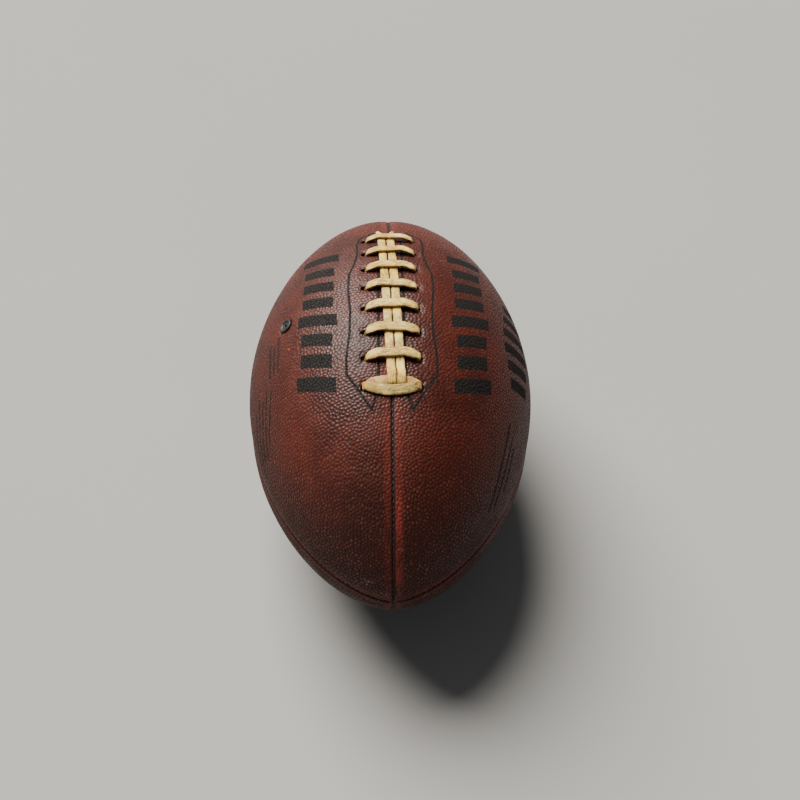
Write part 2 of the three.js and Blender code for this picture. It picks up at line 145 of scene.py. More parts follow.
def over_seam(across, along, height):
    """The same points, addressed in millimetres from the middle of the top seam."""
    share = along / (HALF_LENGTH + height)
    return wall_point(share, across / radius_at(share), -height)


def meridian():
    """Shares at equal steps along the surface from nose to nose, with their arc lengths."""
    samples = 20001
    turn = np.linspace(-1, 1, samples) * math.asin(NOSE_END)
    share = np.sin(turn)
    along = share * HALF_LENGTH
    radius = radius_at(share)
    steps = np.hypot(np.diff(along), np.diff(radius))
    arc = np.concatenate([[0], np.cumsum(steps)])
    count = int(arc[-1] / GRAIN_STEP)
    even = np.linspace(0, arc[-1], count)
    return np.interp(even, arc, share), even - arc[-1] / 2


# ---------------------------------------------------------------- small noise tools


HASH_PRIMES = (374761393, 668265263, 974634777)
HASH_MIXER = 1274126177
HASH_MASK = 0x7FFFFFFF


def hashed(i, j, seed):
    """One repeatable number in 0..1 for each pair of whole numbers."""
    i_prime, j_prime, seed_prime = HASH_PRIMES
    n = i.astype(np.int64) * i_prime + j.astype(np.int64) * j_prime + seed * seed_prime
    n = (n ^ (n >> 13)) & HASH_MASK
    n = (n * HASH_MIXER) & HASH_MASK
    n = (n ^ (n >> 16)) & HASH_MASK
    return n / HASH_MASK


def soft_noise(x, y, size, seed):
    """Smooth noise in -1..1 with features of about this size."""
    i = np.floor(x / size)
    j = np.floor(y / size)
    across = x / size - i
    up = y / size - j
    across = across * across * (3 - 2 * across)
    up = up * up * (3 - 2 * up)
    low = hashed(i, j, seed) * (1 - across) + hashed(i + 1, j, seed) * across
    high = hashed(i, j + 1, seed) * (1 - across) + hashed(i + 1, j + 1, seed) * across
    return 2 * (low * (1 - up) + high * up) - 1


def smooth_step(x, low, high):
    """Rises from 0 at low to 1 at high. It falls instead where low is the larger of the two."""
    t = np.clip((x - low) / (high - low), 0, 1)
    return t * t * (3 - 2 * t)


def pebbles(x, y, seed):
    """Height of the embossed grain, 0 in the grooves to 1 on the domes.

    The pebbles are the cells round jittered points of a hexagonal grid, and soft noise bends
    their rows.
    """
    x = x + 1.5 * soft_noise(x, y, 17, seed + 1) + 0.35 * soft_noise(x, y, 4, seed + 3)
    y = y + 1.5 * soft_noise(x, y, 17, seed + 2) + 0.35 * soft_noise(x, y, 4, seed + 4)
    row_height = PEBBLE_PITCH * math.sqrt(3) / 2
    row = np.floor(y / row_height)
    nearest = np.full(x.shape, 1e9)
    second = np.full(x.shape, 1e9)
    for row_step in (-1, 0, 1, 2):
        j = row + row_step
        shift = 0.5 * np.mod(j, 2)
        column = np.floor(x / PEBBLE_PITCH - shift)
        for column_step in (-1, 0, 1, 2):
            i = column + column_step
            jitter_x = (hashed(i, j, seed + 5) - 0.5) * 2 * PEBBLE_JITTER
            jitter_y = (hashed(i, j, seed + 6) - 0.5) * 2 * PEBBLE_JITTER
            centre_x = (i + shift + jitter_x) * PEBBLE_PITCH
            centre_y = (j + jitter_y) * row_height
            distance = np.hypot(x - centre_x, y - centre_y)
            second = np.minimum(second, np.maximum(nearest, distance))
            nearest = np.minimum(nearest, distance)
    rim = smooth_step((second - nearest) / PEBBLE_PITCH, 0.0, 0.4)
    dome = 1 - 0.36 * (nearest / (0.6 * PEBBLE_PITCH)) ** 2
    return np.clip(rim * dome, 0, 1)


# ---------------------------------------------------------------- inked shapes, signed distances


def segment_distance(x, y, start, end):
    """Distance of points from a straight stroke."""
    dx, dy = end[0] - start[0], end[1] - start[1]
    t = np.clip(((x - start[0]) * dx + (y - start[1]) * dy) / (dx * dx + dy * dy), 0, 1)
    return np.hypot(x - start[0] - t * dx, y - start[1] - t * dy)


OUTLINE_HALF_WIDTH = 0.74
OUTLINE_FLANK = [
    # distance from the seam and place along the ball
    (9.5, 76), (18.5, 68), (20, 60), (19.5, 47), (21.5, 36), (24.3, 27), (24.6, 12), (23.2, -4),
    (23.4, -20), (25.2, -36), (25.0, -46), (11.0, -67.5), (8.6, -59), (7.4, -48), (6.7, 62),
]


def lace_outline(across, along):
    """Distance inside the thin line drawn round the lacing, the same on both sides."""
    side = np.abs(across)
    distance = np.full(side.shape, 1e9)
    for start, end in zip(OUTLINE_FLANK, OUTLINE_FLANK[1:]):
        distance = np.minimum(distance, segment_distance(side, along, start, end))
    return OUTLINE_HALF_WIDTH - distance


def slanted_bars(across, along, middle, places, half_width, half_length, slant):
    """A row of plain solid bars side by side along the ball, all leaning the same way."""
    inside = np.full(across.shape, -1e9)
    for place, reach in places:
        beside = np.abs(across - middle) - half_width * reach
        beyond = np.abs(along - place - slant * (across - middle)) - half_length
        inside = np.maximum(inside, -np.maximum(beside, beyond))
    return inside


INK_BARS = [
    # place along the ball, share of the row's half width
    (-46, 1.0), (-32, 0.8), (-18, 0.8), (-4, 1.0), (10, 0.8), (24, 0.8), (38, 0.8), (54, 1.0),
]
SIDE_BARS = [(-26, 0.7), (-14, 0.85), (-2, 1.0), (10, 1.0), (22, 0.85), (34, 0.7)]
BAR_ROWS = [
    # middle of the row across, bars, half width, half length, slant
    (-44, INK_BARS, 13.0, 4.3, -0.35),
    (48, INK_BARS, 13.0, 4.3, 0.35),
    (90, SIDE_BARS, 15.0, 3.6, 0.25),
]


def ink_on(across, along):
    """Signed distance into the nearest inked shape. Plain generic marks, no lettering."""
    rows = [slanted_bars(across, along, *row) for row in BAR_ROWS]
    return np.maximum.reduce([lace_outline(across, along), *rows])


FAINT_HALF_WIDTH = 1.0
FAINT_LINES = [
    # the two ends of each line, as places across and along
    ((-73, -24), (-73, 0)), ((-77, -24), (-77, -6)), ((-81, -24), (-81, -2)),
    ((-85, -60), (-80, -34)), ((-90, -64), (-85, -30)), ((-95, -62), (-90, -34)),
    ((-100, -66), (-95, -30)), ((-106, -62), (-101, -36)),
    ((68, -98), (80, -52)), ((74, -94), (84, -58)), ((82, -84), (87, -62)),
]


def faint_ink_on(across, along):
    """Signed distance into the small worn marks: rows of plain lines."""
    distance = np.full(across.shape, 1e9)
    for start, end in FAINT_LINES:
        distance = np.minimum(distance, segment_distance(across, along, start, end))
    return FAINT_HALF_WIDTH - distance


# ---------------------------------------------------------------- mesh helpers


def mesh_object(name, points, faces, values=None):
    """A smooth mesh from points in millimetres; values holds named numbers per point."""
    mesh = bpy.data.meshes.new(name)
    quads = np.asarray(faces, dtype=np.int32)
    starts = np.arange(len(quads), dtype=np.int32) * quads.shape[1]
    mesh.vertices.add(len(points))
    mesh.vertices.foreach_set("co", (np.asarray(points) * MM).astype(np.float32).ravel())
    mesh.loops.add(quads.size)
    mesh.loops.foreach_set("vertex_index", quads.ravel())
    mesh.polygons.add(len(quads))
    mesh.polygons.foreach_set("loop_start", starts)
    mesh.update(calc_edges=True)
    for key, numbers in (values or {}).items():
        layer = mesh.attributes.new(key, "FLOAT", "POINT")
        layer.data.foreach_set("value", np.asarray(numbers, dtype=np.float32).ravel())
    mesh.shade_smooth()
    obj = bpy.data.objects.new(name, mesh)
    bpy.context.scene.collection.objects.link(obj)
    return obj


def loop_quads(rings, count):
    """Quads between neighbouring closed loops of the same number of points."""
    ring = np.arange(rings - 1)[:, None] * count
    here = np.arange(count)[None, :]
    after = (here + 1) % count
    return np.stack(
        [ring + here, ring + after, ring + after + count, ring + here + count], axis=-1
    ).reshape(-1, 4)


def close_ends(obj, rings, count):
    """Adds one face over the first and the last loop."""
    bm = bmesh.new()
    bm.from_mesh(obj.data)
    bm.verts.ensure_lookup_table()
    bm.faces.new([bm.verts[i] for i in reversed(range(count))])
    bm.faces.new([bm.verts[(rings - 1) * count + i] for i in range(count)])
    bmesh.ops.recalc_face_normals(bm, faces=bm.faces)
    bm.to_mesh(obj.data)
    bm.free()


def cut_with(obj, cutters):
    """Cuts the shapes of the cutters out of the object's mesh."""
    for cutter in cutters:
        modifier = obj.modifiers.new("cut", "BOOLEAN")
        modifier.operation = "DIFFERENCE"
        modifier.solver = "MANIFOLD"
        modifier.object = cutter
    graph = bpy.context.evaluated_depsgraph_get()
    cut = bpy.data.meshes.new_from_object(obj.evaluated_get(graph))
    obj.modifiers.clear()
    obj.data = cut


def finish_piece(obj, material, slot, *nodes):
    """Gives the piece its material and its place in the frame."""
    obj.data.materials.clear()
    obj.data.materials.append(material)
    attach(obj, "root")
    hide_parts(*nodes)


# ---------------------------------------------------------------- leather panels

SHARES, ARCS = meridian()
NOT_INKED = -9  # a distance well outside every inked shape


def across_steps():
    """Shares of the way across a panel, closer together along both edges."""
    width = RADIUS * QUARTER
    edge = np.array([0, 0.08, 0.2, 0.4, 0.65, 0.95, 1.3, 1.7, 2.2])
    inner = np.linspace(2.8, width - 2.8, int((width - 5.6) / GRAIN_STEP) + 1)
    return np.concatenate([edge, inner, width - edge[::-1]]) / width


def edge_depth(distance, roll):
    """How far the rolled edge has turned down at this distance from the seam."""
    closeness = np.clip(1 - distance / roll, 0, 1)
    return roll * (1 - np.sqrt(np.clip(1 - closeness**2, 0, 1)))


def grain_place(share, arc, turn):
    """Flat leather coordinates: the panel rolled out from its middle line."""
    radius = radius_at(share)
    slope = -RADIUS * NOSE_POWER * 2 * share / HALF_LENGTH * (1 - share**2) ** (NOSE_POWER - 1)
    apex = radius * np.sqrt(1 + slope**2) / np.maximum(np.abs(slope), 1e-3)
    swing = radius * turn / apex
    return apex * np.sin(swing), arc + np.sign(share) * apex * (1 - np.cos(swing))


def hole_pull(across, along):
    """Depth by which the lace draws the leather in round its holes."""
    pull = np.zeros(across.shape)
    for place in BAR_PLACES:
        beside = np.maximum(np.abs(np.abs(across) - HOLE_ACROSS - 0.3) - 1.6, 0)
        beyond = np.maximum(np.abs(along - place) - 2.4, 0)
        pull = np.maximum(pull, np.exp(-((np.hypot(beside, beyond) / 1.5) ** 2)))
    return LACE_HOLE_PULL * pull


def valve_pull(across, along):
    """Depth by which the leather dips towards the valve."""
    distance = np.hypot(across - VALVE_ANGLE * RADIUS, along - VALVE_ALONG)
    return VALVE_PULL * np.exp(-((np.maximum(distance - VALVE_RADIUS, 0) / 1.3) ** 2))


def painted_shade_on(angle, along):
    """Painted shade: how far the leather is darkened, little on top, more underneath and at the
    noses.
    """
    low_side = smooth_step(np.abs(angle), math.radians(42), math.radians(100))
    nose = smooth_step(np.abs(along), 78, 138)
    return 1 - (1 - 0.75 * low_side) * (1 - 0.6 * nose)


def rubbed_on(across, along, edge):
    """Where the raised leather beside a seam is worn back to bright red."""
    band = smooth_step(edge, 0.9, 1.8) * smooth_step(edge, 6.5, 3.0)
    beside_top = (across > 0) & (across < 12)
    strong = beside_top * smooth_step(-along, 88, 122) * smooth_step(-along, 141.5, 137)
    return band * np.maximum(strong, 0.3)


def stitched_edge(edge, roll, radius, arc):
    """How deep the rolled edges lie, and how far the stitches draw them in."""
    pucker = 0.5 + 0.5 * np.cos(2 * math.pi * arc / STITCH_PITCH)
    drawn_in = PUCKER * pucker * np.exp(-edge / 1.1) * smooth_step(radius, 4, 14)
    return edge_depth(edge, roll) + drawn_in


def panel_back(share, first, last, turn, roll):
    """The turned-in edges and the inner face of a panel, from its last edge to its first."""
    flat = 0 * share
    back_angles = last - turn + (first - last + 2 * turn) * np.linspace(0, 1, 8)[None, :]
    return [
        wall_point(share, last, roll + 0.4),
        wall_point(share, last, EDGE_TURN_DEPTH + flat),
        wall_point(share, last - turn, EDGE_TURN_DEPTH + flat),
        wall_point(share, back_angles, LEATHER + 0 * back_angles),
        wall_point(share, first + turn, EDGE_TURN_DEPTH + flat),
        wall_point(share, first, EDGE_TURN_DEPTH + flat),
        wall_point(share, first, roll + 0.4),
    ]


def panel_points(start, seed):
    """Points of one panel as closed loops, and the numbers its material reads."""
    share = SHARES[:, None]
    arc = ARCS[:, None]
    radius = radius_at(share)
    width = radius * QUARTER
    gap = np.minimum(SEAM_GAP / width, 0.1)
    part = gap + (1 - 2 * gap) * across_steps()[None, :]
    angle = start + part * QUARTER
    edge = np.minimum(part, 1 - part) * width
    roll = np.minimum(EDGE_ROLL, 0.22 * radius + 0.02)

    x, y = grain_place(share, arc, (part - 0.5) * QUARTER)
    grain = pebbles(x, y, seed)
    grain *= smooth_step(edge, 0.35 * roll, 1.5 * roll) * 0.9 + 0.1
    turned = np.where(angle > math.pi, angle - 2 * math.pi, angle)
    across = turned * radius
    along = share * HALF_LENGTH + 0 * angle

    depth = stitched_edge(edge, roll, radius, arc)
    depth = depth + hole_pull(across, along) + valve_pull(across, along)
    depth = depth - PEBBLE_HEIGHT * (grain - 0.5) * smooth_step(radius, 1, 6)
    depth = depth + 0.16 * soft_noise(x, y, 31, seed + 11) + 0.07 * soft_noise(x, y, 11, seed + 12)
    face = wall_point(share, angle, depth)

    turn = np.minimum(LEATHER / radius, 0.6)
    first = start + gap * QUARTER
    last = start + QUARTER - gap * QUARTER
    loops = np.concatenate([face, *panel_back(share, first, last, turn, roll)], axis=1)
    on_face = [(0, 0), (0, loops.shape[1] - face.shape[1])]
    values = {
        "grain": np.pad(grain, on_face),
        # painted shade underneath and at the noses
        "painted_shade": np.pad(painted_shade_on(turned, along), on_face),
        "rubbed": np.pad(rubbed_on(across, along, edge), on_face),
        "nose": np.pad(smooth_step(np.abs(along), 122, 137), on_face),
        "seam_edge": np.pad(edge, on_face),
        "ink": np.pad(ink_on(across, along), on_face, constant_values=NOT_INKED),
        "faint_ink": np.pad(faint_ink_on(across, along), on_face, constant_values=NOT_INKED),
    }
    return loops, values


def bar_right_end(along):
    """Where a bar turns down on the right: a little nearer the seam towards the far end."""
    return BAR_RIGHT_END - BAR_END_DRIFT * (along - LACE_MIDDLE) / HALF_LACING


def lace_hole_cutters():
    """Rounded plugs for the lace holes, with the opening for the straps in the seam."""
    strap_opening = (0.8, NEAR_BAR, 7.3, 2.6)
    holes = [strap_opening]
    for place in BAR_PLACES:
        half_along = 2.1 if place == NEAR_BAR else 1.8
        right_middle = (HOLE_ACROSS + bar_right_end(place)) / 2 + 0.2
        holes.append((-HOLE_ACROSS, place, 2.9, half_along))
        holes.append((right_middle, place, 2.1, half_along))
    return [hole_plug(*hole) for hole in holes]


def hole_plug(across, along, half_across, half_along):
    """A plug with rounded corners, standing through the wall."""
    roundness = 0.85
    turns = np.linspace(0, 2 * math.pi, 28, endpoint=False)
    shape_x = np.sign(np.cos(turns)) * np.abs(np.cos(turns)) ** roundness * half_across
    shape_y = np.sign(np.sin(turns)) * np.abs(np.sin(turns)) ** roundness * half_along
    above = over_seam(across + shape_x, along + shape_y, 3.0)
    below = over_seam(across + shape_x, along + shape_y, -5.0)
    loops = np.stack([above, below])
    plug = mesh_object("plug", loops.reshape(-1, 3), loop_quads(2, len(turns)))
    close_ends(plug, 2, len(turns))
    return plug


def valve_frame():
    """Axes of the valve: along the ball, round it and straight out of the panel."""
    share = VALVE_ALONG / HALF_LENGTH
    seat = wall_point(share, VALVE_ANGLE, 0.0)
    along = wall_point(share + 0.001, VALVE_ANGLE, 0.0) - seat
    around = wall_point(share, VALVE_ANGLE + 0.001, 0.0) - seat
    along /= np.linalg.norm(along)
    around /= np.linalg.norm(around)
    return seat, along, around, np.cross(around, along)


def turned_on_valve(name, profile, segments=72):
    """A turned body on the valve's axis from a closed outline of radius and height."""
    seat, along, around, out = valve_frame()
    turns = np.linspace(0, 2 * math.pi, segments, endpoint=False)[:, None, None]
    radius = np.array(profile)[None, :, 0, None]
    height = np.array(profile)[None, :, 1, None]
    points = seat + radius * (np.cos(turns) * along + np.sin(turns) * around) + height * out
    count = len(profile)
    quads = loop_quads(segments + 1, count) % (segments * count)
    obj = mesh_object(name, points.reshape(-1, 3), quads)
    close_normals(obj)
    return obj


def close_normals(obj):
    """Joins the points that fall together and turns every face outwards."""
    bm = bmesh.new()
    bm.from_mesh(obj.data)
    bmesh.ops.remove_doubles(bm, verts=bm.verts, dist=1e-7)
    bmesh.ops.recalc_face_normals(bm, faces=bm.faces)
    bm.to_mesh(obj.data)
    bm.free()


# ---------------------------------------------------------------- materials


class Nodes:
    """Short helper for building a node material. A value may be a number or another output."""

    def __init__(self, name):
        self.material = bpy.data.materials.new(name)
        self.material.use_nodes = True
        self.tree = self.material.node_tree
        self.tree.nodes.clear()
        self.shader = self.tree.nodes.new("ShaderNodeBsdfPrincipled")
        output = self.tree.nodes.new("ShaderNodeOutputMaterial")
        self.tree.links.new(self.shader.outputs[0], output.inputs[0])

    def feed(self, socket, value):
        """Links an output to the socket, or sets its number or colour."""
        if value is None:
            return
        if isinstance(value, bpy.types.NodeSocket):
            self.tree.links.new(value, socket)
        elif isinstance(value, tuple):
            socket.default_value = (*value, 1.0)
        else:
            socket.default_value = value

    def put(self, node, name, value):
        self.feed(node.inputs[name], value)

    def attribute(self, name):
        """The numbers that the mesh holds under this name."""
        node = self.tree.nodes.new("ShaderNodeAttribute")
        node.attribute_name = name
        return node.outputs["Fac"]

    def object_place(self):
        return self.tree.nodes.new("ShaderNodeTexCoord").outputs["Object"]

    def noise(self, scale, detail=2.0, roughness=0.5, place=None, distortion=0.0):
        node = self.tree.nodes.new("ShaderNodeTexNoise")
        self.put(node, "Vector", place if place is not None else self.object_place())
        self.put(node, "Scale", scale)
        self.put(node, "Detail", detail)
        self.put(node, "Roughness", roughness)
        self.put(node, "Distortion", distortion)
        return node.outputs["Fac"]

    def combined(self, x, y):
        node = self.tree.nodes.new("ShaderNodeCombineXYZ")
        self.put(node, "X", x)
        self.put(node, "Y", y)
        return node.outputs["Vector"]

    def cells(self, scale, feature="F1"):
        node = self.tree.nodes.new("ShaderNodeTexVoronoi")
        node.feature = feature
        self.put(node, "Vector", self.object_place())
        self.put(node, "Scale", scale)
        return node.outputs["Distance"]

    def spread(self, value, low, high, to_low=0.0, to_high=1.0):
        """Maps low..high smoothly to to_low..to_high."""
        node = self.tree.nodes.new("ShaderNodeMapRange")
        node.interpolation_type = "SMOOTHSTEP"
        self.put(node, "Value", value)
        self.put(node, "From Min", low)
        self.put(node, "From Max", high)
        self.put(node, "To Min", to_low)
        self.put(node, "To Max", to_high)
        return node.outputs["Result"]

    def math(self, operation, first, second=None):
        node = self.tree.nodes.new("ShaderNodeMath")
        node.operation = operation
        self.feed(node.inputs[0], first)
        self.feed(node.inputs[1], second)
        return node.outputs[0]

    def product(self, first, second):
        return self.math("MULTIPLY", first, second)

    def mix(self, amount, first, second):
        """Mixes two colours: first where amount is 0, second where it is 1."""
        node = self.tree.nodes.new("ShaderNodeMix")
        node.data_type = "RGBA"
        self.feed(node.inputs[0], amount)
        self.feed(node.inputs[6], first)
        self.feed(node.inputs[7], second)
        return node.outputs[2]

    def bump(self, height, strength, distance, under=None):
        node = self.tree.nodes.new("ShaderNodeBump")
        self.put(node, "Height", height)
        self.put(node, "Strength", strength)
        self.put(node, "Distance", distance)
        self.put(node, "Normal", under)
        return node.outputs["Normal"]

    def finish(self, color, roughness, normal=None, **constants):
        self.put(self.shader, "Base Color", color)
        self.put(self.shader, "Roughness", roughness)
        self.put(self.shader, "Normal", normal)
        for name, value in constants.items():
            self.put(self.shader, name.replace("_", " "), value)
        return self.material


LEATHER_COLORS = {
    "dark red": (0.045, 0.0069, 0.0036),
    "mid red": (0.081, 0.0124, 0.0062),
    "pale red": (0.112, 0.0173, 0.0088),
    # painted shade: the near-black the leather is darkened to underneath and at the noses
    "painted_shade": (0.013, 0.0040, 0.0014),
    # painted shade in the grooves between the pebbles
    "groove": (0.018, 0.0035, 0.0022),
    # painted highlight: paler pink on the crowns of the pebbles
    "dome highlight": (0.21, 0.058, 0.040),
    "seam shade": (0.016, 0.004, 0.002),
    "rubbed edge": (0.235, 0.030, 0.020),
    "worn spot": (0.50, 0.045, 0.022),
    "scuff": (0.30, 0.20, 0.155),
    "ink": (0.005, 0.0045, 0.004),
}


def leather_color(n, grain, painted_shade, patches):
    """Mottled red leather, worn, with painted shade in its grooves, by the seams, underneath and at
    the noses, and painted highlights on its pebble domes.
    """
    colors = LEATHER_COLORS
    large = n.noise(14, 3)
    base = n.mix(n.spread(large, 0.36, 0.62), colors["dark red"], colors["mid red"])
    base = n.mix(n.spread(patches, 0.42, 0.72, 0, 0.6), base, colors["pale red"])
    # painted shade underneath and at the noses, patchy
    base = n.mix(n.product(painted_shade, 0.9), base, colors["painted_shade"])
    # painted shade in the grooves between the pebbles
    groove = n.spread(grain, 0.08, 0.6, 1.0, 0.0)
    base = n.mix(n.product(groove, 0.72), base, colors["groove"])
    # painted highlight on the pebble domes, in patches
    dome_highlight = n.product(n.spread(grain, 0.62, 0.95), n.spread(n.noise(320, 2), 0.42, 0.7))
    base = n.mix(n.product(dome_highlight, 0.4), base, colors["dome highlight"])
    seam_shade = n.spread(n.attribute("seam_edge"), 0.1, 1.4, 1.0, 0.0)
    base = n.mix(n.product(seam_shade, 0.8), base, colors["seam shade"])
    rubbed = n.product(n.attribute("rubbed"), n.spread(n.noise(42, 4, 0.65), 0.26, 0.5))
    base = n.mix(n.product(rubbed, 0.8), base, colors["rubbed edge"])
    spots = n.spread(n.cells(105), 0.05, 0.09, 1.0, 0.0)
    spots = n.product(spots, n.spread(n.noise(21, 1), 0.56, 0.62))
    base = n.mix(n.product(spots, 0.6), base, colors["worn spot"])
    scuffs = n.product(n.attribute("nose"), n.spread(n.noise(230, 5, 0.7), 0.6, 0.68))
    return n.mix(n.product(scuffs, 0.35), base, colors["scuff"])


def ink_cover(n):
    """Where ink lies: its worn edge follows fine noise."""
    worn = n.math("SUBTRACT", n.noise(260, 4, 0.7), 0.5)
    edge = n.math("ADD", n.attribute("ink"), n.product(worn, 0.7))
    faint_edge = n.math("ADD", n.attribute("faint_ink"), n.product(worn, 2.2))
    ink = n.spread(edge, -0.1, 0.16, 0.0, 0.97)
    return n.math("MAXIMUM", ink, n.spread(faint_edge, -0.1, 0.5, 0.0, 0.8))


def leather_material():
    n = Nodes("pebbled_leather")
    grain = n.attribute("grain")
    patches = n.noise(55, 4, 0.6)
    # painted shade underneath and at the noses, broken up by the patches; it also roughens the
    # leather
    painted_shade = n.product(n.attribute("painted_shade"), n.spread(patches, 0.25, 0.6, 0.65, 1.0))
    inked = ink_cover(n)
    base = n.mix(inked, leather_color(n, grain, painted_shade, patches), LEATHER_COLORS["ink"])
    rough = n.spread(grain, 0.1, 0.9, 0.62, 0.31)
    rough = n.math("ADD", rough, n.product(n.math("SUBTRACT", patches, 0.5), 0.25))
    rough = n.math("ADD", rough, n.product(inked, 0.42))
    rough = n.math("ADD", rough, n.product(painted_shade, 0.32))
    normal = n.bump(n.noise(900, 3, 0.6), 0.3, 0.00012)
    normal = n.bump(n.cells(2600), 0.12, 0.0001, normal)
    return n.finish(base, rough, normal, Specular_IOR_Level=0.29)


LACE_COLORS = {
    "cream": (0.88, 0.57, 0.105),
    "pale cream": (0.98, 0.80, 0.29),
    "blotch": (0.62, 0.38, 0.12),
    # painted shade down the sides of the lace
    "side": (0.53, 0.285, 0.058),
    # painted shade on the rear pass, under the front pass
    "under": (0.50, 0.27, 0.075),
    "hairline": (0.19, 0.095, 0.028),
    "crack": (0.20, 0.11, 0.035),
    # painted shade along the lace's edges
    "edge": (0.14, 0.07, 0.02),
    # painted shade and dirt where the lace goes into its holes
    "hole_shade_and_dirt": (0.09, 0.045, 0.015),
}


def lace_color(n, crown, blotch, streak, hairlines, cracks):
    """Cream laminate with painted shade down its sides, along its edges and on the rear pass,
    painted shade and dirt in its holes, creased and cracked.
    """
    colors = LACE_COLORS
    tint = n.noise(90, 4, 0.6)
    base = n.mix(n.spread(tint, 0.35, 0.7), colors["cream"], colors["pale cream"])
    base = n.mix(n.spread(blotch, 0.55, 0.8, 0, 0.45), base, colors["blotch"])
    # painted shade down the sides, broken by lengthwise streaks
    side = n.math("ADD", crown, n.product(n.math("SUBTRACT", streak, 0.5), 1.4))
    base = n.mix(n.spread(side, 0.0, 0.66, 0.9, 0.0), base, colors["side"])
    # painted shade on the rear pass, where the front pass shades it
    base = n.mix(n.product(n.attribute("under"), 0.8), base, colors["under"])
    base = n.mix(n.product(hairlines, 0.8), base, colors["hairline"])
    base = n.mix(n.product(cracks, 0.6), base, colors["crack"])
    # painted shade along the edges
    base = n.mix(n.spread(crown, 0.02, 0.16, 0.7, 0.0), base, colors["edge"])
    # painted shade and dirt, darker as the lace sinks into its holes
    hole_shade_and_dirt = n.spread(n.attribute("hole_shade_and_dirt"), 0.0, 1.0, 0.0, 0.85)
    return n.mix(hole_shade_and_dirt, base, colors["hole_shade_and_dirt"])


def lace_material():
    n = Nodes("lace_laminate")
    crown = n.attribute("crown")
    run = n.product(n.attribute("run"), 0.16)
    lengthways = n.combined(run, n.product(n.attribute("lane"), 4.0))
    blotch = n.noise(420, 4, 0.65)
    streak = n.noise(1.0, 5, 0.62, lengthways, 0.4)
    hairlines = n.math("ABSOLUTE", n.math("SUBTRACT", streak, 0.5))
    hairlines = n.spread(hairlines, 0.01, 0.07, 1.0, 0.0)
    hairlines = n.product(hairlines, n.spread(n.noise(130, 3), 0.36, 0.52))
    cracks = n.spread(n.cells(620, "DISTANCE_TO_EDGE"), 0.0, 0.05, 1.0, 0.0)
    cracks = n.product(cracks, n.spread(n.noise(150, 3), 0.5, 0.64))
    base = lace_color(n, crown, blotch, streak, hairlines, cracks)
    rough = n.spread(blotch, 0.3, 0.8, 0.42, 0.62)
    worn = n.product(n.math("ADD", cracks, hairlines), 0.6)
    height = n.math("SUBTRACT", n.math("ADD", n.noise(700, 4, 0.65), streak), worn)
    normal = n.bump(height, 0.6, 0.00028)
    return n.finish(base, rough, normal, Specular_IOR_Level=0.4)


def thread_material():
    n = Nodes("wax_coated_thread")
    twist = n.attribute("twist")
    base = n.mix(n.spread(twist, 0.2, 0.9), (0.010, 0.006, 0.005), (0.045, 0.022, 0.015))
    base = n.mix(n.spread(n.noise(500, 3), 0.5, 0.8, 0, 0.6), base, (0.09, 0.035, 0.02))
    normal = n.bump(twist, 0.6, 0.00015)
    return n.finish(base, n.spread(twist, 0.0, 1.0, 0.7, 0.45), normal)


def rubber_material(name, dark, light):
    n = Nodes(name)
    dust = n.spread(n.noise(700, 4, 0.6), 0.5, 0.8)
    base = n.mix(n.product(dust, 0.5), dark, light)
    rough = n.spread(n.noise(300, 3), 0.3, 0.7, 0.46, 0.66)
    normal = n.bump(n.noise(1500, 3, 0.6), 0.3, 0.0001)
    return n.finish(base, rough, normal)


def weave_material(name, thread, gap, pitch):
    """Plain woven cloth with threads of this pitch in metres."""
    n = Nodes(name)
    turns = 2 * math.pi / pitch
    place = n.tree.nodes.new("ShaderNodeSeparateXYZ")
    n.feed(place.inputs[0], n.object_place())
    warp = n.math("SINE", n.product(place.outputs["Y"], turns))
    weft_place = n.math("SUBTRACT", place.outputs["X"], place.outputs["Z"])
    weft = n.math("SINE", n.product(weft_place, turns))
    height = n.math("ADD", n.product(warp, 0.5), n.product(weft, 0.5))
    fuzz = n.noise(800, 4, 0.6)
    base = n.mix(n.spread(height, -0.8, 0.4), gap, thread)
    base = n.mix(n.spread(fuzz, 0.5, 0.8, 0, 0.4), base, gap)
    normal = n.bump(height, 0.6, 0.0003)
    return n.finish(base, n.spread(fuzz, 0.3, 0.7, 0.8, 0.95), normal)


def smooth_leather_material():
    n = Nodes("tongue_leather")
    pores = n.cells(1400)
    base = n.mix(n.spread(n.noise(60, 3), 0.35, 0.7), (0.020, 0.012, 0.009), (0.045, 0.025, 0.018))
    normal = n.bump(pores, 0.25, 0.00015)
    return n.finish(base, n.spread(pores, 0.1, 0.7, 0.5, 0.68), normal)


def floor_material():
    n = Nodes("pale_floor")
    base = n.mix(n.noise(3, 2), (0.325, 0.323, 0.318), (0.355, 0.352, 0.347))
    return n.finish(base, 0.75)


# ---------------------------------------------------------------- lace route


def strap_across(side, along):
    """Sideways place of a strap: both drift from one end of the lacing to the other."""
    return side * STRAP_LANE - STRAP_SKEW * (along - LACE_MIDDLE) / HALF_LACING


# ways that the band's width may point, as steps across, along and up
LENGTHWAYS = np.array([0.0, 1.0, 0.0])
SIDEWAYS = np.array([1.0, 0.0, 0.0])
LEANING = np.array([0.0, 1.0, 0.42])


def waypoint(across, along, height, width, bend):
    """Where the lace is over the seam, which way its width points, and how wide it bends."""
    return np.array([across, along, height]), width, bend


